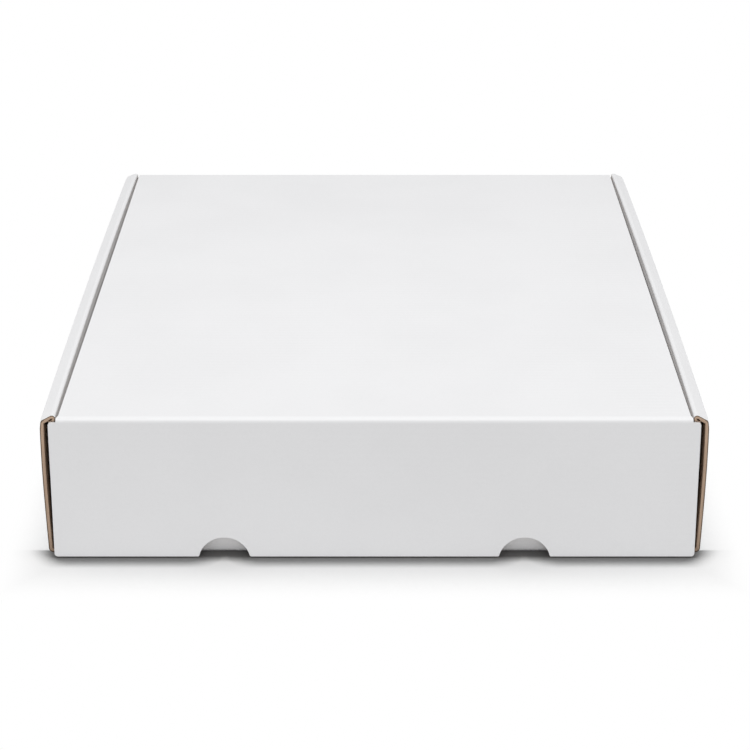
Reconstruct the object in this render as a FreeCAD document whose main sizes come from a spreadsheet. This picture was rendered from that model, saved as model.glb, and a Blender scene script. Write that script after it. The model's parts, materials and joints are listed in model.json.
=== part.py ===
"""Pizza box of single-wall corrugated board, closed.

One folded sheet makes the tray: floor, end walls with corner flaps, and side
walls that roll over into inner panels whose tabs lock in slots in the floor.
The lid panel hangs on a fold at the back wall's top and lies between the two
rolls. The front flap hangs on a fold at the lid's front, outside the front wall,
and has two finger notches in its lower edge.

Frame: origin at the middle of the floor's underside, +X to the right seen from
the front, +Y to the back, +Z up, millimetres.
"""
import FreeCAD, Part
import os

import Sketcher
from FreeCAD import Vector

doc = FreeCAD.newDocument("PizzaBox")

# Driving dimensions: alias, value in mm (angles in degrees), what it is.
DRIVING = [
    ("board", 1.8, "thickness of the corrugated board"),
    ("tray_width", 319.2, "over the outer side walls"),
    ("tray_depth", 352.0, "over the front and back walls"),
    ("box_height", 73.0, "underside of the floor to the top of the closed lid"),
    ("seam", 0.3, "clearance between layers of the folded sheet"),
    ("fold_gap", 0.1, "clearance of the two hinge folds"),
    ("fold_inner", 0.3, "inside radius of a fold"),
    ("crease_drop", 1.8, "side roll's outer edge below the lid's top"),
    ("roll_rise", 4.2, "rise of the roll from its outer edge to the inner panel"),
    ("roll_width", 7.35, "side wall's outer face to the inner panel's inner face"),
    ("roll_radius", 1.5, "rounding at the roll's inner edge"),
    ("crease_radius", 1.5, "rounding at the roll's outer edge"),
    ("side_clear", 0.2, "side wall's raw edge behind the front flap at the fold"),
    ("lid_side_gap", 2.15, "lid's edge to the inner panel"),
    ("tab_length", 44.0, "locking tab of the inner panel"),
    ("tab_pitch", 190.0, "middle to middle of the two tabs on one side"),
    ("tab_lift", 0.3, "tab's end above the floor's underside"),
    ("tab_slope", 1.5, "taper of a tab's ends"),
    ("corner_flap_length", 96.0, "corner flap from the end wall's face"),
    ("corner_flap_drop", 2.2, "corner flap's top below the end wall's top"),
    ("corner_flap_cut", 14.0, "slanted cut at the corner flap's free end"),
    ("floor_lip", 24.0, "floor strip that goes with each end wall"),
    ("flap_gap", 0.4, "front wall's face to the front flap at the fold"),
    ("flap_lean", 2.9, "lean of the front flap away from the front wall"),
    ("foot_lift", 0.65, "front flap's lower edge above the table"),
    ("flap_top_width", 309.0, "front flap just below its shoulders"),
    ("flap_foot_width", 311.0, "front flap at its lower edge"),
    ("shoulder_drop", 1.3, "height of the slanted shoulders beside the fold"),
    ("shoulder_radius", 0.8, "rounding of the shoulders"),
    ("foot_radius", 1.6, "rounding of the flap's lower corners"),
    ("notch_radius", 12.6, "finger notch"),
    ("notch_depth", 10.3, "finger notch above the lower edge"),
    ("notch_pitch", 145.8, "middle to middle of the finger notches"),
    ("notch_blend", 0.8, "rounding where a notch meets the lower edge"),
]

# Dependent dimensions: alias, formula on the cells above it.
DEPENDENT = [
    ("side_x", "tray_width / 2"),
    ("side_inner_x", "side_x - board"),
    ("panel_x", "side_x - roll_width"),
    ("panel_outer_x", "panel_x + board"),
    ("corner_x", "side_inner_x - seam"),
    ("corner_inner_x", "corner_x - board"),
    ("end_y", "tray_depth / 2"),
    ("end_inner_y", "end_y - board"),
    ("side_length", "tray_depth + 2 * (flap_gap - side_clear)"),
    ("crease_height", "box_height - crease_drop"),
    ("slope", "roll_rise / roll_width"),
    ("strip_drop", "board * sqrt(1 + slope * slope)"),
    ("apex_z", "crease_height + roll_rise"),
    ("apex_under_z", "apex_z - slope * board - strip_drop"),
    ("crease_under_z", "crease_height + slope * board - strip_drop"),
    ("lid_under_z", "box_height - board"),
    ("wall_top_z", "lid_under_z - fold_gap"),
    ("corner_top_z", "wall_top_z - corner_flap_drop"),
    ("layer_z", "board + seam"),
    ("fold_radius", "board + fold_inner"),
    ("axis_z", "box_height - board / 2"),
    ("hinge_y", "end_y - board / 2"),
    ("flap_axis_y", "end_y + flap_gap + board / 2"),
    ("lid_front_y", "flap_axis_y - board / 2 - fold_gap"),
    ("lid_x", "panel_x - lid_side_gap"),
    ("tab_near_y", "tab_pitch / 2 - tab_length / 2"),
    ("tab_far_y", "tab_pitch / 2 + tab_length / 2"),
    ("tab_near_end_y", "tab_near_y + tab_slope"),
    ("tab_far_end_y", "tab_far_y - tab_slope"),
    ("slot_near_y", "tab_near_y - seam"),
    ("slot_far_y", "tab_far_y + seam"),
    ("slot_near_x", "panel_x - seam"),
    ("slot_far_x", "panel_outer_x + seam"),
    ("panel_end_y", "end_inner_y - seam"),
    ("panel_end_z", "wall_top_z"),
    ("lip_y", "end_y - floor_lip"),
    ("corner_end_y", "end_y - corner_flap_length"),
    ("flap_drop", "axis_z - foot_lift - board / 2 * sin(flap_lean)"),
    ("flap_length", "flap_drop / cos(flap_lean)"),
    ("flap_top_x", "flap_top_width / 2"),
    ("flap_foot_x", "flap_foot_width / 2"),
    ("notch_x", "notch_pitch / 2"),
    ("notch_centre_z", "flap_length + notch_radius - notch_depth"),
]

sheet = doc.addObject("Spreadsheet::Sheet", "Sizes")
row = 1
for alias, value, note in DRIVING:
    sheet.set("A%d" % row, alias)
    sheet.set("B%d" % row, str(value))
    sheet.set("C%d" % row, note)
    sheet.setAlias("B%d" % row, alias)
    row += 1
for alias, formula in DEPENDENT:
    sheet.set("A%d" % row, alias)
    sheet.set("B%d" % row, "=" + formula)
    sheet.setAlias("B%d" % row, alias)
    row += 1
doc.recompute()


def size(alias):
    return float(sheet.get(alias))


def plane(body, role):
    for feature in body.Origin.OriginFeatures:
        if feature.Role == role:
            return feature
    raise ValueError("no plane " + role)


def bound(alias):
    """A cell's expression; a leading minus stays in front."""
    if alias.startswith("-"):
        return "-Sizes." + alias[1:]
    return "Sizes." + alias


def value_of(alias):
    """A cell's value; a leading minus turns it round, "0" is the axis."""
    if alias == "0":
        return 0.0
    return -size(alias[1:]) if alias.startswith("-") else size(alias)


def pin(sketch, geo, pos, kind, alias):
    """Hold one coordinate of a sketch point at a cell's value."""
    if alias == "0":
        axis = -2 if kind == "DistanceX" else -1
        sketch.addConstraint(Sketcher.Constraint("PointOnObject", geo, pos, axis))
        return
    index = sketch.addConstraint(
        Sketcher.Constraint(kind, -1, 1, geo, pos, value_of(alias)))
    sketch.setExpression("Constraints[%d]" % index, bound(alias))


def new_sketch(body, name, role, lift=None):
    sketch = body.newObject("Sketcher::SketchObject", name)
    sketch.AttachmentSupport = (plane(body, role), "")
    sketch.MapMode = "FlatFace"
    if lift:
        sketch.setExpression("AttachmentOffset.Base.z", bound(lift))
    return sketch


def outline(sketch, points):
    """A closed outline through points given as pairs of cell names."""
    first = sketch.GeometryCount
    count = len(points)
    places = [Vector(value_of(u), value_of(v), 0) for u, v in points]
    for i in range(count):
        sketch.addGeometry(Part.LineSegment(places[i], places[(i + 1) % count]), False)
    for i in range(count):
        after = first + (i + 1) % count
        sketch.addConstraint(Sketcher.Constraint("Coincident", first + i, 2, after, 1))
    for i, (u, v) in enumerate(points):
        pin(sketch, first + i, 1, "DistanceX", u)
        pin(sketch, first + i, 1, "DistanceY", v)


def ring(sketch, u, v, radius):
    """A circle with its centre and radius held by cells or formulas."""
    centre = Vector(value_of(u), value_of(v), 0)
    geo = sketch.addGeometry(Part.Circle(centre, Vector(0, 0, 1), 1.0), False)
    pin(sketch, geo, 3, "DistanceX", u)
    pin(sketch, geo, 3, "DistanceY", v)
    index = sketch.addConstraint(Sketcher.Constraint("Radius", geo, 1.0))
    sketch.setExpression("Constraints[%d]" % index, radius)


def extrude(body, kind, name, sketch, length, side="One side", backwards=False):
    """A Pad or a Pocket; a Pocket has to change the volume."""
    doc.recompute()
    before = body.Tip.Shape.Volume if body.Tip else 0.0
    feature = body.newObject("PartDesign::" + kind, name)
    feature.Profile = sketch
    feature.SideType = side
    feature.Reversed = backwards
    feature.setExpression("Length", length)
    doc.recompute()
    change = body.Tip.Shape.Volume - before
    if kind == "Pad" and change <= 0 or kind == "Pocket" and change >= 0:
        raise ValueError("%s changes the volume by %.3f" % (name, change))
    return feature


def edges_along(shape, axis, spots):
    """Names of straight edges along an axis (0, 1, 2) that pass given spots."""
    others = [i for i in range(3) if i != axis]
    found = []
    for number, edge in enumerate(shape.Edges, 1):
        if len(edge.Vertexes) != 2:
            continue
        a, b = edge.Vertexes[0].Point, edge.Vertexes[1].Point
        if abs(a[axis] - b[axis]) < 0.2 or (a - b).Length - abs(a[axis] - b[axis]) > 1e-4:
            continue
        for u, v in spots:
            if abs(a[others[0]] - u) < 1e-3 and abs(a[others[1]] - v) < 1e-3:
                found.append("Edge%d" % number)
    return found


def dress(body, kind, name, axis, spots, amount):
    """Round or chamfer the straight edges that pass the given spots."""
    doc.recompute()
    tip = body.Tip
    names = edges_along(tip.Shape, axis, spots)
    if not names:
        raise ValueError("no edge for " + name)
    feature = body.newObject("PartDesign::" + kind, name)
    feature.Base = (tip, names)
    feature.setExpression("Radius" if kind == "Fillet" else "Size", amount)
    doc.recompute()
    return feature


def mirror_whole(body, name, role):
    feature = body.newObject("PartDesign::Mirrored", name)
    feature.TransformMode = "Whole shape"
    feature.MirrorPlane = (plane(body, role), [""])
    body.Tip = feature
    doc.recompute()
    return feature


# Side part of the sheet: floor, outer wall, roll and inner panel in one section.
sides = doc.addObject("PartDesign::Body", "SideSheet")
section = new_sketch(sides, "SideSection", "XZ_Plane")
outline(section, [
    ("0", "0"), ("side_x", "0"), ("side_x", "crease_height"), ("panel_x", "apex_z"),
    ("panel_x", "layer_z"), ("panel_outer_x", "layer_z"),
    ("panel_outer_x", "apex_under_z"), ("side_inner_x", "crease_under_z"),
    ("side_inner_x", "board"), ("0", "board"),
])
extrude(sides, "Pad", "SidePad", section, "Sizes.side_length", "Symmetric")
dress(sides, "Fillet", "FoldOuter", 1, [(size("side_x"), 0.0)], "Sizes.fold_radius")
dress(sides, "Fillet", "FoldInner", 1, [(size("side_inner_x"), size("board"))],
      "Sizes.fold_inner")
dress(sides, "Fillet", "RollOuter", 1, [(size("side_x"), size("crease_height"))],
      "Sizes.crease_radius")
dress(sides, "Fillet", "RollInner", 1, [(size("panel_x"), size("apex_z"))],
      "Sizes.roll_radius")

# The inner panel and the floor stop short of the end walls; the roll runs on.
ends = new_sketch(sides, "PanelEnds", "YZ_Plane")
outline(ends, [("panel_end_y", "-board"), ("side_length", "-board"),
               ("side_length", "panel_end_z"), ("panel_end_y", "panel_end_z")])
outline(ends, [("-panel_end_y", "-board"), ("-side_length", "-board"),
               ("-side_length", "panel_end_z"), ("-panel_end_y", "panel_end_z")])
extrude(sides, "Pocket", "PanelEndCut", ends, "Sizes.slot_far_x", backwards=True)

# Two slots in the floor, and the inner panel's tabs standing in them.
slots = new_sketch(sides, "TabSlots", "XY_Plane")
for near, far in (("slot_near_y", "slot_far_y"), ("-slot_near_y", "-slot_far_y")):
    outline(slots, [("slot_near_x", near), ("slot_far_x", near),
                    ("slot_far_x", far), ("slot_near_x", far)])
extrude(sides, "Pocket", "TabSlotCut", slots, "Sizes.board", backwards=True)
tabs = new_sketch(sides, "Tabs", "YZ_Plane", "panel_x")
outline(tabs, [("tab_near_y", "layer_z"), ("tab_far_y", "layer_z"),
               ("tab_far_end_y", "tab_lift"), ("tab_near_end_y", "tab_lift")])
outline(tabs, [("-tab_near_y", "layer_z"), ("-tab_far_y", "layer_z"),
               ("-tab_far_end_y", "tab_lift"), ("-tab_near_end_y", "tab_lift")])
extrude(sides, "Pad", "TabPad", tabs, "Sizes.board")
mirror_whole(sides, "BothSides", "YZ_Plane")

# End part of the sheet: wall, floor strip and the corner flap in the side's cavity.
walls = doc.addObject("PartDesign::Body", "EndSheet")
section = new_sketch(walls, "WallSection", "YZ_Plane")
outline(section, [
    ("-lip_y", "0"), ("-end_y", "0"), ("-end_y", "wall_top_z"),
    ("-end_inner_y", "wall_top_z"), ("-end_inner_y", "board"), ("-lip_y", "board"),
])
extrude(walls, "Pad", "WallPad", section, "2 * Sizes.panel_outer_x", "Symmetric")
dress(walls, "Chamfer", "WallCorners", 1,
      [(size("panel_outer_x"), size("wall_top_z")),
       (-size("panel_outer_x"), size("wall_top_z"))], "Sizes.corner_flap_drop")
dress(walls, "Fillet", "EndFoldOuter", 0, [(-size("end_y"), 0.0)], "Sizes.fold_radius")
dress(walls, "Fillet", "EndFoldInner", 0, [(-size("end_inner_y"), size("board"))],
      "Sizes.fold_inner")
corner = new_sketch(walls, "CornerPlan", "XY_Plane", "layer_z")
outline(corner, [
    ("panel_x", "-end_y"), ("corner_x", "-end_y"), ("corner_x", "-corner_end_y"),
    ("corner_inner_x", "-corner_end_y"), ("corner_inner_x", "-end_inner_y"),
    ("panel_x", "-end_inner_y"),
])
extrude(walls, "Pad", "CornerPad", corner, "Sizes.corner_top_z - Sizes.layer_z")
dress(walls, "Chamfer", "CornerEnd", 0,
      [(-size("corner_end_y"), size("corner_top_z")),
       (-size("corner_end_y"), size("layer_z"))], "Sizes.corner_flap_cut")
dress(walls, "Fillet", "CornerFoldOuter", 2, [(size("corner_x"), -size("end_y"))],
      "Sizes.fold_radius")
dress(walls, "Fillet", "CornerFoldInner", 2,
      [(size("corner_inner_x"), -size("end_inner_y"))], "Sizes.fold_inner")
mirror_whole(walls, "BothCorners", "YZ_Plane")
mirror_whole(walls, "BothEnds", "XZ_Plane")

# The tray is one sheet, so both parts of it are joined.
tray = doc.addObject("Part::Fuse", "Tray")
tray.Base = sides
tray.Tool = walls
tray.Refine = True
tray.Label = "tray"

# Lid panel; its back edge is the round fold on the back wall's top.
lid = doc.addObject("PartDesign::Body", "Lid")
lid.Label = "lid"
section = new_sketch(lid, "LidSection", "YZ_Plane")
outline(section, [("-lid_front_y", "lid_under_z"), ("hinge_y", "lid_under_z"),
                  ("hinge_y", "box_height"), ("-lid_front_y", "box_height")])
extrude(lid, "Pad", "LidPad", section, "2 * Sizes.lid_x", "Symmetric")
fold = new_sketch(lid, "LidFold", "YZ_Plane")
ring(fold, "hinge_y", "axis_z", "Sizes.board / 2")
extrude(lid, "Pad", "LidFoldPad", fold, "2 * Sizes.lid_x", "Symmetric")

# Front flap, drawn about its fold axis and hung there with its lean.
flap = doc.addObject("PartDesign::Body", "FrontFlap")
flap.Label = "front_flap"
face = new_sketch(flap, "FlapOutline", "XZ_Plane")
outline(face, [
    ("lid_x", "0"), ("flap_top_x", "-shoulder_drop"), ("flap_foot_x", "-flap_length"),
    ("-flap_foot_x", "-flap_length"), ("-flap_top_x", "-shoulder_drop"), ("-lid_x", "0"),
])
extrude(flap, "Pad", "FlapPad", face, "Sizes.board", "Symmetric")
dress(flap, "Fillet", "FlapFeet", 1,
      [(size("flap_foot_x"), -size("flap_length")),
       (-size("flap_foot_x"), -size("flap_length"))], "Sizes.foot_radius")
dress(flap, "Fillet", "FlapShoulders", 1,
      [(size("flap_top_x"), -size("shoulder_drop")),
       (-size("flap_top_x"), -size("shoulder_drop"))], "Sizes.shoulder_radius")
notches = new_sketch(flap, "Notches", "XZ_Plane")
ring(notches, "notch_x", "-notch_centre_z", "Sizes.notch_radius")
ring(notches, "-notch_x", "-notch_centre_z", "Sizes.notch_radius")
extrude(flap, "Pocket", "NotchCut", notches, "3 * Sizes.board", "Symmetric")
drop = size("notch_radius") - size("notch_depth")
reach = (size("notch_radius") ** 2 - drop ** 2) ** 0.5
dress(flap, "Fillet", "NotchEdges", 1,
      [(side * size("notch_x") + end * reach, -size("flap_length"))
       for side in (-1, 1) for end in (-1, 1)], "Sizes.notch_blend")
fold = new_sketch(flap, "FlapFold", "YZ_Plane")
ring(fold, "0", "0", "Sizes.board / 2")
extrude(flap, "Pad", "FlapFoldPad", fold, "2 * Sizes.lid_x", "Symmetric")
flap.Placement = FreeCAD.Placement(Vector(0, 0, 0), FreeCAD.Rotation(Vector(-1, 0, 0), 1))
flap.setExpression("Placement.Base.y", "-Sizes.flap_axis_y")
flap.setExpression("Placement.Base.z", "Sizes.axis_z")
flap.setExpression("Placement.Rotation.Angle", "Sizes.flap_lean")
doc.recompute()

for item in doc.Objects:
    if "Invalid" in item.State or "Error" in item.State:
        raise RuntimeError("%s: %s" % (item.Name, item.State))
os.makedirs("parts", exist_ok=True)
for item in (tray, lid, flap):
    shape = item.Shape
    if shape.isNull() or not shape.isValid() or len(shape.Solids) != 1:
        raise RuntimeError("bad shape: " + item.Label)
    shape.exportStep("parts/%s.step" % item.Label)
    box = shape.BoundBox
    print("%-12s %10.1f mm3  x %.2f %.2f  y %.2f %.2f  z %.2f %.2f" % (
        item.Label, shape.Volume, box.XMin, box.XMax, box.YMin, box.YMax,
        box.ZMin, box.ZMax))
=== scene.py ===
"""Looks of a closed white pizza box, dressed over its CAD frame.

Each piece is the board's real sheet: a white liner on the outside, a brown one
on the inside and brown paper at its cut edges, with the two folds as pieces of
their own.
"""
import json
import math

import bmesh
import bpy
from bpy.props import FloatProperty, FloatVectorProperty, IntProperty, PointerProperty
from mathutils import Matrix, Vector
from mathutils.bvhtree import BVHTree


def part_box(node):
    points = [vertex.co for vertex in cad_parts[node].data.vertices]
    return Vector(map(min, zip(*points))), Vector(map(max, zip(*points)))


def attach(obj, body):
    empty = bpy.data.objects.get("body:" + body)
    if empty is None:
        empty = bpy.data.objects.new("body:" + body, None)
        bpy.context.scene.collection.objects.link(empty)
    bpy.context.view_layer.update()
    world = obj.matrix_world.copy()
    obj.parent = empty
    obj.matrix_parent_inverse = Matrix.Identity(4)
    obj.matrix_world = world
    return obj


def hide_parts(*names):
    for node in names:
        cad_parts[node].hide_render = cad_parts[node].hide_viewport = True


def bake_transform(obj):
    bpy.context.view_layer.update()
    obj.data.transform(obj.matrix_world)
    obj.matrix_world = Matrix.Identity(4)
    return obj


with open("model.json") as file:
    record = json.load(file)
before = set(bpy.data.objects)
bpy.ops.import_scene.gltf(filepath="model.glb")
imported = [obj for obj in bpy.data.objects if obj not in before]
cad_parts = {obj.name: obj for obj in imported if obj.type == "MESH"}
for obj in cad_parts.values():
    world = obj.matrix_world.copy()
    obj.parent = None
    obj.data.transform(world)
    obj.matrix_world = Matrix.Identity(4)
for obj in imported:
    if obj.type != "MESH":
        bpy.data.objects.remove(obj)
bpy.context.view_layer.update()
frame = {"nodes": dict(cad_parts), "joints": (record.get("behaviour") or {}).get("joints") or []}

bl_info = {
    "name": "Pizza box",
    "version": (1, 0, 0),
    "blender": (4, 5, 0),
    "location": "View3D > Sidebar > Pizza box",
    "description": "Dresses the folded sheet, lid, front flap and folds of a pizza box",
    "category": "Object",
}

LID_LOW, LID_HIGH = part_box("lid")
TRAY_LOW, TRAY_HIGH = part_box("tray")
FOLD = {joint["name"]: Vector(joint["pos_m"]) for joint in frame["joints"]}
MM = 0.001
SHARP_EDGE = math.radians(42)
FACING = 0.7
FIBRE_SCALE = 900.0
SENSOR_WIDTH = 36.0
LAMP_SIZE = (1.4, 0.25)
LAMP_HEIGHT = 1.1


class BoardSizes(bpy.types.PropertyGroup):
    thickness: FloatProperty(
        name="Board", description="Thickness of the corrugated board",
        default=LID_HIGH[2] - LID_LOW[2], min=0.0005, subtype="DISTANCE")
    flute_pitch: FloatProperty(
        name="Flute pitch", description="Length of one wave of the corrugation",
        default=3.3 * MM, min=0.001, subtype="DISTANCE")
    fold_inside: FloatProperty(
        name="Fold inside", description="Inside radius of a moving fold",
        default=0.1 * MM, min=0.0, subtype="DISTANCE")
    fold_run: FloatProperty(
        name="Fold run", description="Flat length of lid that goes with a fold",
        default=3.0 * MM, min=0.0, subtype="DISTANCE")
    fold_swell: FloatProperty(
        name="Fold swell", description="How far the crushed front fold stands out sideways",
        default=0.7 * MM, min=0.0, max=0.9 * MM, subtype="DISTANCE")
    flap_lean: FloatProperty(
        name="Flap lean", description="Lean of the front flap from upright",
        default=math.radians(2.9), subtype="ANGLE")
    bow: FloatProperty(
        name="Bow", description="How far the side walls' ends lie inside their middle",
        default=1.1 * MM, min=0.0, max=2.0 * MM, subtype="DISTANCE")
    shoulder_dent: FloatProperty(
        name="Shoulder dent", description="How far the rolls' outer shoulders lie in at the ends",
        default=0.35 * MM, min=0.0, max=1.0 * MM, subtype="DISTANCE")
    crest_sag: FloatProperty(
        name="Crest sag", description="How far the rolls' tops sink at the back",
        default=1.1 * MM, min=0.0, max=1.3 * MM, subtype="DISTANCE")
    panel_lean: FloatProperty(
        name="Panel lean", description="How far the inner panels lean in below the roll",
        default=1.2 * MM, min=0.0, max=2.0 * MM, subtype="DISTANCE")
    corner_slack: FloatProperty(
        name="Corner slack", description="Corner flaps' distance from their place",
        default=1.3 * MM, min=0.0, max=1.3 * MM, subtype="DISTANCE")
    fold_steps: IntProperty(
        name="Fold steps", description="Faces round a quarter turn of a fold",
        default=14, min=3, max=40)


class BoardColours(bpy.types.PropertyGroup):
    coated: FloatVectorProperty(
        name="White liner", description="Coated paper on the outside",
        default=(0.862, 0.862, 0.872), size=3, min=0.0, max=1.0, subtype="COLOR")
    lining: FloatVectorProperty(
        name="Inner liner", description="Brown paper on the inside",
        default=(0.45, 0.325, 0.23), size=3, min=0.0, max=1.0, subtype="COLOR")
    kraft: FloatVectorProperty(
        name="Brown core", description="Brown paper at the cut edges",
        default=(0.475, 0.343, 0.248), size=3, min=0.0, max=1.0, subtype="COLOR")
    # Painted shade: this dark brown stands for shade in the flutes' hollows and along the cut
    # edges' borders.
    kraft_painted_shade: FloatVectorProperty(
        name="Core shade", description="Brown paper in the board's hollows",
        default=(0.10, 0.062, 0.038), size=3, min=0.0, max=1.0, subtype="COLOR")


class StageSizes(bpy.types.PropertyGroup):
    lens: FloatProperty(
        name="Lens", description="Focal length on a 36 mm sensor",
        default=92.2, min=10.0, max=300.0)
    pitch: FloatProperty(
        name="Pitch", description="Downward tilt of the camera",
        default=math.radians(25.0), subtype="ANGLE")
    camera_place: FloatVectorProperty(
        name="Camera", description="Where the camera stands",
        default=(0.00026, -0.9913, 0.4756), size=3, subtype="TRANSLATION")
    floor_reach: FloatProperty(
        name="Floor", description="Half width of the floor",
        default=8.0, min=1.0, subtype="DISTANCE")
    sky: FloatProperty(
        name="Sky", description="Strength of the light from all round",
        default=0.79, min=0.0, max=2.0)
    lamp: FloatProperty(
        name="Lamp", description="Power of the soft lamp overhead",
        default=5.4, min=0.0, max=500.0, subtype="POWER")


class Value:
    """A shader socket; sums on it add Math nodes beside it."""

    def __init__(self, finish, socket):
        self.finish = finish
        self.socket = socket

    def math(self, operation, *others):
        node = self.finish.node("ShaderNodeMath", operation=operation)
        for slot, term in zip(node.inputs, (self, *others)):
            self.finish.feed(slot, term)
        return Value(self.finish, node.outputs[0])

    def __add__(self, other):
        return self.math("ADD", other)

    def __sub__(self, other):
        return self.math("SUBTRACT", other)

    def __mul__(self, other):
        return self.math("MULTIPLY", other)

    def __rsub__(self, other):
        return self * -1.0 + other

    __radd__ = __add__

    def power(self, other):
        return self.math("POWER", other)

    def sine(self):
        return self.math("SINE")

    def distance(self, other):
        return (self - other).math("ABSOLUTE")

    def ramp(self, low, high):
        """0 below low, 1 above high, smooth between."""
        return self.finish.value(
            "ShaderNodeMapRange", "Result",
            {"Value": self, "From Min": low, "From Max": high},
            interpolation_type="SMOOTHSTEP")


class Finish:
    """A material or world in the making."""

    def __init__(self, owner):
        owner.use_nodes = True
        self.owner = owner
        self.tree = owner.node_tree
        self.tree.nodes.clear()

    def feed(self, slot, value):
        """Link a Value to a socket, or set a plain number or colour on it."""
        if isinstance(value, Value):
            self.tree.links.new(value.socket, slot)
        elif slot.type == "RGBA":
            slot.default_value = (*value, 1.0)
        else:
            slot.default_value = value

    def node(self, kind, sockets=None, **settings):
        """Add a node with its settings, and feed its sockets."""
        node = self.tree.nodes.new(kind)
        for name, value in settings.items():
            setattr(node, name, value)
        for name, value in (sockets or {}).items():
            self.feed(node.inputs[name], value)
        return node

    def value(self, kind, output, sockets=None, **settings):
        """One output of a new node."""
        return Value(self, self.node(kind, sockets, **settings).outputs[output])

    def noise(self, vector, scale, detail=2.0, roughness=0.5):
        return self.value(
            "ShaderNodeTexNoise", "Fac",
            {"Vector": vector, "Scale": scale, "Detail": detail, "Roughness": roughness},
            noise_dimensions="3D")

    def mix(self, factor, low, high):
        """Colour low where the factor is 0, and high where it is 1."""
        node = self.node("ShaderNodeMix", data_type="RGBA")
        for slot, value in zip((node.inputs[0], node.inputs[6], node.inputs[7]),
                               (factor, low, high)):
            self.feed(slot, value)
        return Value(self, node.outputs[2])

    def place(self):
        return self.value("ShaderNodeTexCoord", "Object")

    def sheet(self):
        """The UV map's two parts.

        On a cut edge they are the run along it in metres and the share of the board's
        thickness, from 0 at the outside's paper. On a side they are X and what counts
        the flutes, in metres.
        """
        parts = self.node("ShaderNodeSeparateXYZ", {
            "Vector": self.value("ShaderNodeUVMap", "UV", uv_map="sheet")})
        return Value(self, parts.outputs["X"]), Value(self, parts.outputs["Y"])

    def seen(self):
        """1 for rays from the camera, also by gloss or through glass, else 0."""
        path = self.node("ShaderNodeLightPath")
        seen = Value(self, path.outputs["Is Camera Ray"])
        for name in ("Is Glossy Ray", "Is Transmission Ray"):
            seen = seen.math("MAXIMUM", Value(self, path.outputs[name]))
        return seen

    def surface(self, colour, roughness, height, depth):
        """Finish a material; depth is the real height of a bump from 0 to 1."""
        shader = self.node("ShaderNodeBsdfPrincipled", {
            "Base Color": colour, "Roughness": roughness})
        bump = self.value("ShaderNodeBump", "Normal", {
            "Height": height, "Distance": depth, "Strength": 1.0})
        self.feed(shader.inputs["Normal"], bump)
        out = self.node("ShaderNodeOutputMaterial")
        self.tree.links.new(shader.outputs[0], out.inputs["Surface"])

    def blend(self, factor, low, high, kind):
        """Finish with a blend of two shaders; kind is Material or World."""
        blend = self.node("ShaderNodeMixShader", {0: factor})
        out = self.node("ShaderNodeOutput" + kind)
        self.tree.links.new(low.outputs[0], blend.inputs[1])
        self.tree.links.new(high.outputs[0], blend.inputs[2])
        self.tree.links.new(blend.outputs[0], out.inputs["Surface"])


def toned(colour, factor, top=1.0):
    """A colour made lighter or darker, with no part above top."""
    return tuple(min(top, factor * part) for part in colour)


def paper_finish(name, colour, roughness):
    """Liner: faint clouds, fibres and the flutes showing through."""
    finish = Finish(bpy.data.materials.new(name))
    sizes = bpy.context.scene.board_sizes
    place = finish.place()
    clouds = finish.noise(place, scale=14.0, detail=3.0)
    fibres = finish.noise(place, scale=FIBRE_SCALE, roughness=0.6)
    ribs = finish.sheet()[1]
    flutes = (ribs * (2 * math.pi / sizes.flute_pitch)).sine()
    mottle = clouds.ramp(0.35, 0.7) * 0.5 + fibres.ramp(0.3, 0.75) * 0.3
    tone = finish.mix(mottle, colour, toned(colour, 0.955))
    rough = roughness + fibres * 0.08
    relief = flutes * 0.012 + fibres * 0.02 + clouds * 0.15
    finish.surface(tone, rough, relief, depth=1.0 * MM)


def crease_highlight_finish(name):
    """White liner over the front fold, with a painted highlight: paler where it bends most."""
    finish = Finish(bpy.data.materials.new(name))
    colour = bpy.context.scene.board_colours.coated
    forward = finish.sheet()[1] * -1.0
    # Painted highlight: lighter over the fold's curve, a little darker on its flat run.
    painted_highlight = forward.ramp(173.5 * MM, 175.2 * MM)
    fibres = finish.noise(finish.place(), scale=FIBRE_SCALE, roughness=0.6)
    tone = finish.mix(painted_highlight, toned(colour, 0.985), toned(colour, 1.05, top=0.95))
    finish.surface(tone, 0.5, fibres, depth=0.02 * MM)


def torn_finish(name):
    """Cut edge along the flutes: pressed brown fibres, with painted shade along its borders."""
    finish = Finish(bpy.data.materials.new(name))
    colours = bpy.context.scene.board_colours
    run, across = finish.sheet()
    streak_place = finish.value("ShaderNodeCombineXYZ", "Vector", {
        "X": run * 60.0 + across * 2.4, "Y": across * 5.0, "Z": run * 8.0})
    streaks = finish.noise(streak_place, scale=1.6, detail=3.0, roughness=0.6)
    # Painted shade: dark bands along the two liners, strongest at the outside's paper.
    outer_shade = 1.0 - across.ramp(0.16, 0.36)
    painted_border_shade = outer_shade.math("MAXIMUM", across.ramp(0.88, 1.0) * 0.4)
    tone = finish.mix(streaks.ramp(0.32, 0.68), colours.kraft, toned(colours.kraft, 1.35))
    tone = finish.mix(painted_border_shade * (streaks * 0.9 + 0.48), tone, colours.kraft_painted_shade)
    finish.surface(tone, 0.85, streaks, depth=0.03 * MM)


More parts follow.
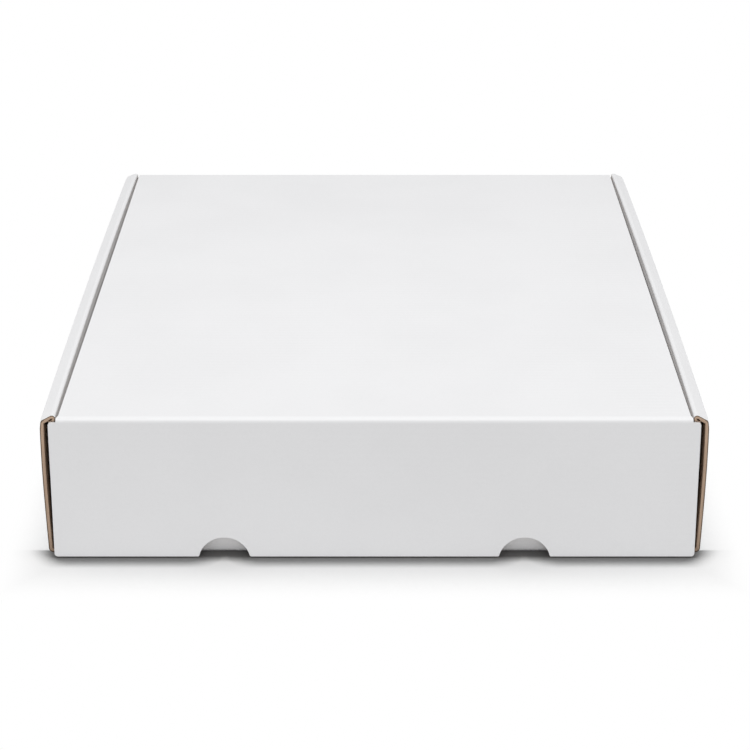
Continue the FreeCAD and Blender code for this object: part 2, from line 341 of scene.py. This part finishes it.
def flute_finish(name):
    """Cut edge across the flutes: two liners and the wave between them, with painted shade in the
    hollows.
    """
    finish = Finish(bpy.data.materials.new(name))
    sizes = bpy.context.scene.board_sizes
    colours = bpy.context.scene.board_colours
    run, across = finish.sheet()
    wave = (run * (2 * math.pi / sizes.flute_pitch)).sine() * 0.34 + 0.5
    core = 1.0 - across.distance(wave).ramp(0.06, 0.13)
    liners = across.distance(0.5).ramp(0.38, 0.41)
    paper = core.math("MAXIMUM", liners)
    grain = finish.noise(finish.place(), scale=500.0)
    brown = finish.mix(grain.ramp(0.3, 0.7), colours.kraft, toned(colours.kraft, 1.2))
    # Painted shade fills the open hollows between the wave and the liners.
    tone = finish.mix(paper, colours.kraft_painted_shade, brown)
    finish.surface(tone, 0.85, paper, depth=0.1 * MM)


BOARD_FINISHES = ("lining_paper", "torn_edge", "fluted_edge")
OUTSIDE, INSIDE, TORN, FLUTED = range(4)


def smooth_regions(form):
    """Groups of faces that meet without a sharp edge."""
    regions, seen = [], set()
    for face in form.faces:
        if face in seen:
            continue
        seen.add(face)
        region, todo = [], [face]
        while todo:
            here = todo.pop()
            region.append(here)
            for edge in here.edges:
                if edge.calc_face_angle(math.pi) > SHARP_EDGE:
                    continue
                for other in edge.link_faces:
                    if other not in seen:
                        seen.add(other)
                        todo.append(other)
        regions.append(region)
    return regions


def board_behind(tree, face, thickness):
    """True where the ray into a face leaves the sheet after about one thickness."""
    start = face.calc_center_median() - face.normal * 0.01 * MM
    hit = tree.ray_cast(start, -face.normal)
    return hit[3] is not None and 0.5 * thickness < hit[3] < 1.5 * thickness


def sheet_sides(form, thickness, seed):
    """The faces that are sides of the sheet, and those of them with the outside's paper.

    A smooth region is a side of the sheet where the board's thickness lies behind
    most of it, and a cut edge elsewhere. The outside's paper starts at the face where
    the seed is highest and goes on over every side that it meets, but no further than
    onto a narrow one: a strip hardly wider than the board can touch both liners.
    """
    tree = BVHTree.FromBMesh(form)
    sides, broad = set(), set()
    for region in smooth_regions(form):
        area = sum(face.calc_area() for face in region)
        backed = sum(face.calc_area() for face in region
                     if board_behind(tree, face, thickness))
        if backed > 0.5 * area:
            sides.update(region)
            whole = set(region)
            rim = sum(edge.calc_length() for face in region for edge in face.edges
                      if not whole.issuperset(edge.link_faces))
            if area > 0.6 * thickness * rim:
                broad.update(region)
    first = max(broad, key=lambda face: seed(face.calc_center_median(), face.normal))
    coated, todo = {first}, [first]
    while todo:
        for edge in todo.pop().edges:
            for face in edge.link_faces:
                if face in sides and face not in coated:
                    coated.add(face)
                    if face in broad:
                        todo.append(face)
    return sides, coated


def dress_board(name, form, seed, crosses_flutes, flutes_stacked,
                outside="coated_paper", wrapped=None):
    """Turn a sheet's bmesh into an object with a finish on each of its sides.

    The seed and the tests take a face's middle and its normal. The tests say which
    cut edges cross the flutes, on which sides the flutes lie one above another, and
    which cut edges are wrapped in the outside's paper.
    """
    form.normal_update()
    bmesh.ops.triangulate(form, faces=form.faces)
    sides, coated = sheet_sides(form, bpy.context.scene.board_sizes.thickness, seed)
    layer = form.loops.layers.uv.new("sheet")
    for face in form.faces:
        spot = face.calc_center_median()
        if face in sides:
            face.material_index = OUTSIDE if face in coated else INSIDE
        elif wrapped and wrapped(spot, face.normal):
            face.material_index = OUTSIDE
        else:
            face.material_index = FLUTED if crosses_flutes(spot, face.normal) else TORN
        reach = [max(vert.co[axis] for vert in face.verts)
                 - min(vert.co[axis] for vert in face.verts) for axis in range(3)]
        stacked = flutes_stacked(spot, face.normal)
        for loop in face.loops:
            place = loop.vert.co
            if face in sides:
                loop[layer].uv = (place.x, place.z if stacked else place.y)
            else:
                deep = any(other in sides and other not in coated
                           for other in loop.vert.link_faces)
                loop[layer].uv = (place[reach.index(max(reach))], float(deep))
        face.smooth = True
    for edge in form.edges:
        edge.smooth = edge.calc_face_angle(0.0) < SHARP_EDGE
    mesh = bpy.data.meshes.new(name)
    form.to_mesh(mesh)
    form.free()
    piece = bpy.data.objects.new(name, mesh)
    bpy.context.scene.collection.objects.link(piece)
    for finish in (outside, *BOARD_FINISHES):
        mesh.materials.append(bpy.data.materials[finish])
    weight = piece.modifiers.new("Flat faces", "WEIGHTED_NORMAL")
    weight.keep_sharp = True
    return piece


def solid_copy(node):
    """A CAD node's mesh as a bmesh of whole faces."""
    form = bmesh.new()
    form.from_mesh(frame["nodes"][node].data)
    bmesh.ops.remove_doubles(form, verts=form.verts, dist=1e-6)
    bmesh.ops.dissolve_limit(
        form, angle_limit=math.radians(0.6), verts=form.verts, edges=form.edges)
    return form


def new_verts(geometry):
    """The vertices in what a bmesh operator gives back."""
    return [item for item in geometry if isinstance(item, bmesh.types.BMVert)]


def cut_off(form, point, normal):
    """Remove what lies beyond a plane and close the cut."""
    geometry = form.verts[:] + form.edges[:] + form.faces[:]
    result = bmesh.ops.bisect_plane(
        form, geom=geometry, plane_co=point, plane_no=normal, clear_outer=True)
    edges = [item for item in result["geom_cut"] if isinstance(item, bmesh.types.BMEdge)]
    bmesh.ops.holes_fill(form, edges=edges, sides=0)


def fold_ring(centre, inside, outside, start, turn, steps, half_width, run, swell):
    """A fold: a quarter tube of board about an axis along X, with a flat run at one end.

    The section starts at the angle start, from +Y towards +Z, and turns by turn.
    The flat run goes on from the section's start, against the turn. The crushed
    curve stands out at its ends by the swell.
    """
    form = bmesh.new()
    ray = Vector((0.0, math.cos(start), math.sin(start)))
    foot = Vector((-half_width, centre[0], centre[1]))
    near = form.verts.new(foot + ray * inside)
    far = form.verts.new(foot + ray * outside)
    edge = form.edges.new((near, far))
    back = Vector((0.0, math.sin(start), -math.cos(start))) * math.copysign(run, turn)
    flat = bmesh.ops.extrude_edge_only(form, edges=[edge])["geom"]
    bmesh.ops.translate(form, vec=back, verts=new_verts(flat))
    bmesh.ops.spin(
        form, geom=[near, far, edge], cent=foot, axis=(1.0, 0.0, 0.0), angle=turn,
        steps=steps, use_merge=False, use_duplicate=False)
    bmesh.ops.remove_doubles(form, verts=form.verts, dist=1e-7)
    body = bmesh.ops.extrude_face_region(form, geom=form.faces[:])["geom"]
    bmesh.ops.translate(form, vec=(2 * half_width, 0.0, 0.0), verts=new_verts(body))
    for vert in form.verts:
        if (vert.co.y - centre[0]) * turn < 0.5 * abs(run * turn):
            vert.co.x += math.copysign(swell, vert.co.x)
    bmesh.ops.recalc_face_normals(form, faces=form.faces)
    return form


class BOX_OT_finishes(bpy.types.Operator):
    """Make the five finishes of the board"""
    bl_idname = "pizza_box.finishes"
    bl_label = "Board finishes"

    def execute(self, context):
        colours = context.scene.board_colours
        paper_finish("coated_paper", colours.coated, roughness=0.52)
        paper_finish("lining_paper", colours.lining, roughness=0.72)
        crease_highlight_finish("crease_painted_highlight")
        torn_finish("torn_edge")
        flute_finish("fluted_edge")
        return {"FINISHED"}


# Corners of the hook's section at the roll's ends, before and after it curls under:
# mm outward of the lid's edge, and mm below the roll's top.
HOOK_END = (
    ((3.95, 2.01), (3.33, 1.56)),
    ((4.46, 2.30), (4.35, 1.80)),
    ((2.15, 2.30), (2.13, 2.20)),
    ((3.95, 2.30), (3.53, 2.35)),
    ((2.15, 2.90), (3.03, 3.25)),
    ((3.95, 2.90), (4.23, 2.80)),
    ((2.15, 3.21), (4.83, 4.10)),
    ((3.95, 3.21), (5.63, 3.10)),
)


def shape_sides(form, sizes):
    """Give the side walls the set of folded board.

    The walls' ends are pulled in, most at the roll and least a little below half
    height. The inner panel leans in below the roll, and the corner flaps lie against
    it. At the ends the roll's tail curls under and its outer shoulder is dented, and
    towards the back wall the roll's top sinks. Planes cut in first give the walls
    vertices to move.
    """
    height, end = TRAY_HIGH[2], TRAY_HIGH[1]
    levels = [step * 12 * MM for step in range(1, 6)]
    levels += [height - drop * MM for drop in (2.3, 2.9, 3.6, 4.4, 5.4, 7.0)]
    stations = [step * 20 * MM for step in range(-8, 9)]
    stations += [4.2 * MM - end, end - 4.2 * MM]
    for axis, cuts in ((1, stations), (2, levels)):
        for cut in cuts:
            point, normal = Vector((0.0, 0.0, 0.0)), Vector((0.0, 0.0, 0.0))
            point[axis], normal[axis] = cut, 1.0
            bmesh.ops.bisect_plane(form, geom=form.verts[:] + form.edges[:] + form.faces[:],
                                   plane_co=point, plane_no=normal)
    wall_near = LID_HIGH[0] + 1.0 * MM
    panel_far = LID_HIGH[0] + 4.3 * MM
    flap_far = TRAY_HIGH[0] - sizes.thickness - 0.1 * MM
    shoulder_near = TRAY_HIGH[0] - 0.7 * MM
    panel_low, panel_top, panel_end = 3.0 * MM, height - 2.2 * MM, end - 2.0 * MM
    flap_start, flap_top = 70 * MM, height - 4.0 * MM
    sag_start = 0.7 * end
    for vert in form.verts:
        side = math.copysign(1.0, vert.co.x)
        out, along, level = abs(vert.co.x), abs(vert.co.y), vert.co.z
        if out < wall_near:
            continue
        shift = 0.0
        if out < panel_far and panel_low < level < panel_top:
            drop = min(1.0, (panel_top - level) / (4.0 * MM))
            foot = min(1.0, (level - panel_low) / (40 * MM))
            if along < panel_end:
                shift -= sizes.panel_lean * drop * (2 - drop) * foot
        elif panel_far < out < flap_far and along > flap_start and level < flap_top:
            shift -= sizes.corner_slack
        if along > end - 0.1 * MM:
            across, drop = (out - LID_HIGH[0]) / MM, (height - level) / MM
            for old, new in HOOK_END:
                if math.dist(old, (across, drop)) < 0.12:
                    shift += (new[0] - old[0]) * MM
                    vert.co.z -= (new[1] - old[1]) * MM
            if out > shoulder_near:
                shift -= sizes.shoulder_dent * max(0.0, min(1.0, (6.8 - drop) / 3))
        crest = max(0.0, 1 - (height - level) / (4.0 * MM))
        backward = max(0.0, (vert.co.y - sag_start) / (end - sag_start))
        vert.co.z -= sizes.crest_sag * crest * backward ** 2
        rise = 2 * level / height - 1
        share = 0.2 + (0.8 if rise > 0 else 0.3) * rise ** 2
        shift -= sizes.bow * (along / end) ** 2 * share
        vert.co.x += side * shift


class BOX_OT_tray(bpy.types.Operator):
    """Dress the folded tray: floor, walls, side rolls, corner flaps and tabs"""
    bl_idname = "pizza_box.tray"
    bl_label = "Tray"

    def execute(self, context):
        form = solid_copy("tray")
        shape_sides(form, context.scene.board_sizes)
        cavity_near = TRAY_HIGH[0] - 5.6 * MM
        cavity_far = TRAY_HIGH[0] - 1.9 * MM
        wall_end = 150 * MM

        def crosses(spot, normal):
            corner_edge = abs(spot.x) > cavity_near and abs(normal.z) > 0.9
            return abs(spot.y) < wall_end and not corner_edge

        def stacked(spot, normal):
            return abs(normal.y) > FACING or cavity_near < abs(spot.x) < cavity_far

        piece = dress_board("folded_tray", form, lambda spot, normal: -normal.z - spot.z,
                            crosses, stacked)
        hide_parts("tray")
        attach(piece, "tray")
        return {"FINISHED"}


class BOX_OT_lid(bpy.types.Operator):
    """Make the lid panel between the two folds"""
    bl_idname = "pizza_box.lid"
    bl_label = "Lid"

    def execute(self, context):
        sizes = context.scene.board_sizes
        front, back = fold_centres(sizes)
        low = front[0] + sizes.fold_run
        high = back[0] - sizes.fold_run
        form = bmesh.new()
        bmesh.ops.create_grid(form, x_segments=12, y_segments=14, size=0.5)
        bmesh.ops.scale(form, vec=(2 * LID_HIGH[0], high - low, 1.0), verts=form.verts)
        bmesh.ops.translate(
            form, vec=(0.0, (low + high) / 2, LID_HIGH[2]), verts=form.verts)
        bmesh.ops.solidify(form, geom=form.faces[:], thickness=sizes.thickness)
        bmesh.ops.recalc_face_normals(form, faces=form.faces)
        piece = dress_board("lid_panel", form, lambda spot, normal: normal.z + spot.z,
                            lambda spot, normal: abs(normal.x) > FACING,
                            lambda spot, normal: False)
        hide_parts("lid")
        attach(piece, "lid")
        return {"FINISHED"}


class BOX_OT_front_flap(bpy.types.Operator):
    """Dress the front flap with its finger notches"""
    bl_idname = "pizza_box.front_flap"
    bl_label = "Front flap"

    def execute(self, context):
        sizes = context.scene.board_sizes
        front = fold_centres(sizes)[0]
        form = solid_copy("front_flap")
        up = Vector((0.0, math.sin(sizes.flap_lean), math.cos(sizes.flap_lean)))
        cut_off(form, (0.0, front[0], front[1]), up)
        piece = dress_board("front_flap_panel", form, lambda spot, normal: -normal.y,
                            lambda spot, normal: abs(normal.x) > FACING,
                            lambda spot, normal: True,
                            wrapped=lambda spot, normal: normal.z > 0.6)
        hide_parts("front_flap")
        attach(piece, "front_flap")
        return {"FINISHED"}


def fold_centres(sizes):
    """Centres of the front and the back fold's curve, as (y, z)."""
    level = LID_LOW[2] - sizes.fold_inside
    reach = sizes.thickness / 2 + sizes.fold_inside
    axis = FOLD["front_flap_fold"]
    rise = (axis.z - level) * math.sin(sizes.flap_lean)
    front_y = axis.y + (reach - rise) / math.cos(sizes.flap_lean)
    return (front_y, level), (FOLD["lid_fold"].y - reach, level)


class BOX_OT_folds(bpy.types.Operator):
    """Make the two folds, at the lid's back and front"""
    bl_idname = "pizza_box.folds"
    bl_label = "Folds"

    def execute(self, context):
        sizes = context.scene.board_sizes
        front, back = fold_centres(sizes)
        quarter = math.pi / 2
        outside = sizes.fold_inside + sizes.thickness
        shapes = (
            ("back_fold", back, -quarter, "lid", "tray", "coated_paper", 0.0),
            ("front_fold", front, quarter - sizes.flap_lean, "lid", "front_flap",
             "crease_painted_highlight", sizes.fold_swell),
        )
        for name, centre, turn, first, second, paper, swell in shapes:
            form = fold_ring(centre, sizes.fold_inside, outside, quarter, turn,
                             sizes.fold_steps, LID_HIGH[0], sizes.fold_run, swell)
            piece = dress_board(name, form, lambda spot, normal: normal.z + spot.z,
                                lambda spot, normal: True,
                                lambda spot, normal: abs(normal.y) > FACING, paper,
                                wrapped=lambda spot, normal: spot.y < front[0])
            toward = math.copysign(1.0, -turn)
            reach = outside if second == "tray" else sizes.fold_inside
            start = Vector((0.0, centre[0], centre[1] + reach))
            end = Vector((0.0, centre[0] + toward * reach, centre[1]))
            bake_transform(piece)
        return {"FINISHED"}


class BOX_OT_stage(bpy.types.Operator):
    """Set up the floor, the light and the camera"""
    bl_idname = "pizza_box.stage"
    bl_label = "Stage"

    def execute(self, context):
        stage = context.scene.stage_sizes
        form = bmesh.new()
        bmesh.ops.create_grid(form, x_segments=1, y_segments=1, size=stage.floor_reach)
        mesh = bpy.data.meshes.new("floor")
        form.to_mesh(mesh)
        form.free()
        floor = bpy.data.objects.new("floor", mesh)
        context.scene.collection.objects.link(floor)
        mesh.materials.append(self.floor_finish())
        self.light(context, stage)
        camera = bpy.data.objects.new("camera", bpy.data.cameras.new("camera"))
        camera.data.lens = stage.lens
        camera.data.sensor_width = SENSOR_WIDTH
        camera.location = stage.camera_place
        camera.rotation_euler = (math.pi / 2 - stage.pitch, 0.0, 0.0)
        context.scene.collection.objects.link(camera)
        context.scene.camera = camera
        context.scene.view_settings.view_transform = "Standard"
        return {"FINISHED"}

    def floor_finish(self):
        """White paper that goes over into plain white light beside and beyond the box.

        Ahead of the front wall a contact shadow is painted into its colour where the box
        is close, from occlusion over a short and a long reach. Bounced rays meet this
        painted shadow under the flap only, so that it takes little light from the box.
        """
        finish = Finish(bpy.data.materials.new("studio_floor"))
        seen = finish.seen()
        parts = finish.node("ShaderNodeSeparateXYZ", {"Vector": finish.place()})
        beside, beyond = (
            (Value(finish, parts.outputs[axis]).math("ABSOLUTE") - reach).ramp(near, far)
            for axis, reach, near, far in (
                ("X", TRAY_HIGH[0], -6.0 * MM, 22.0 * MM),
                ("Y", TRAY_HIGH[1], 12.0 * MM, 45.0 * MM)))
        close, wide = (
            finish.value("ShaderNodeAmbientOcclusion", "AO", {"Distance": reach},
                         samples=16).power(sharpness)
            for reach, sharpness in ((10.5 * MM, 3.6), (80.0 * MM, 0.5)))
        forward = Value(finish, parts.outputs["Y"]) * -1.0
        ahead = forward.ramp(173.5 * MM, 175.5 * MM)
        lit = (close * wide).math("MAXIMUM", 0.2)
        under_flap = 1.0 - forward.ramp(181.0 * MM, 182.5 * MM)
        # Painted contact shadow: the floor's colour darkens ahead of the front wall.
        painted_shadow = seen.math("MAXIMUM", under_flap) * ahead * (1.0 - lit)
        tone = finish.mix(painted_shadow, (0.98, 0.98, 0.98), (0.0, 0.0, 0.0))
        paper = finish.node("ShaderNodeBsdfDiffuse", {"Color": tone})
        white = finish.node("ShaderNodeEmission", {"Strength": 1.0})
        finish.blend(seen * beside.math("MAXIMUM", beyond), paper, white, "Material")
        return finish.owner

    def light(self, context, stage):
        """An even sky that looks white to the camera, and a soft lamp overhead."""
        world = bpy.data.worlds.new("studio")
        context.scene.world = world
        finish = Finish(world)
        seen = finish.seen()
        sky = finish.node("ShaderNodeBackground", {"Strength": stage.sky})
        white = finish.node("ShaderNodeBackground", {"Strength": 1.0})
        finish.blend(seen, sky, white, "World")
        lamp = bpy.data.lights.new("overhead", "AREA")
        lamp.energy = stage.lamp
        lamp.shape = "RECTANGLE"
        lamp.size, lamp.size_y = LAMP_SIZE
        holder = bpy.data.objects.new("overhead", lamp)
        holder.location = (0.0, TRAY_LOW[1], LAMP_HEIGHT)
        context.scene.collection.objects.link(holder)


class BOX_PT_panel(bpy.types.Panel):
    """Sizes, colours and steps of the pizza box"""
    bl_label = "Pizza box"
    bl_idname = "BOX_PT_panel"
    bl_space_type = "VIEW_3D"
    bl_region_type = "UI"
    bl_category = "Pizza box"

    def draw(self, context):
        for group, kind in GROUPS:
            for name in kind.__annotations__:
                self.layout.prop(getattr(context.scene, group), name)
        for step in STEPS:
            self.layout.operator(step.bl_idname)


GROUPS = (("board_sizes", BoardSizes), ("board_colours", BoardColours),
          ("stage_sizes", StageSizes))
STEPS = (BOX_OT_stage, BOX_OT_finishes, BOX_OT_tray, BOX_OT_lid, BOX_OT_front_flap,
         BOX_OT_folds)


def register():
    for name, group in GROUPS:
        bpy.utils.register_class(group)
        setattr(bpy.types.Scene, name, PointerProperty(type=group))
    for step in STEPS + (BOX_PT_panel,):
        bpy.utils.register_class(step)


def unregister():
    for step in STEPS + (BOX_PT_panel,):
        bpy.utils.unregister_class(step)
    for name, group in GROUPS:
        delattr(bpy.types.Scene, name)
        bpy.utils.unregister_class(group)


def main():
    register()
    for step in STEPS:
        folder, name = step.bl_idname.split(".")
        getattr(getattr(bpy.ops, folder), name)()


if __name__ == "__main__":
    main()
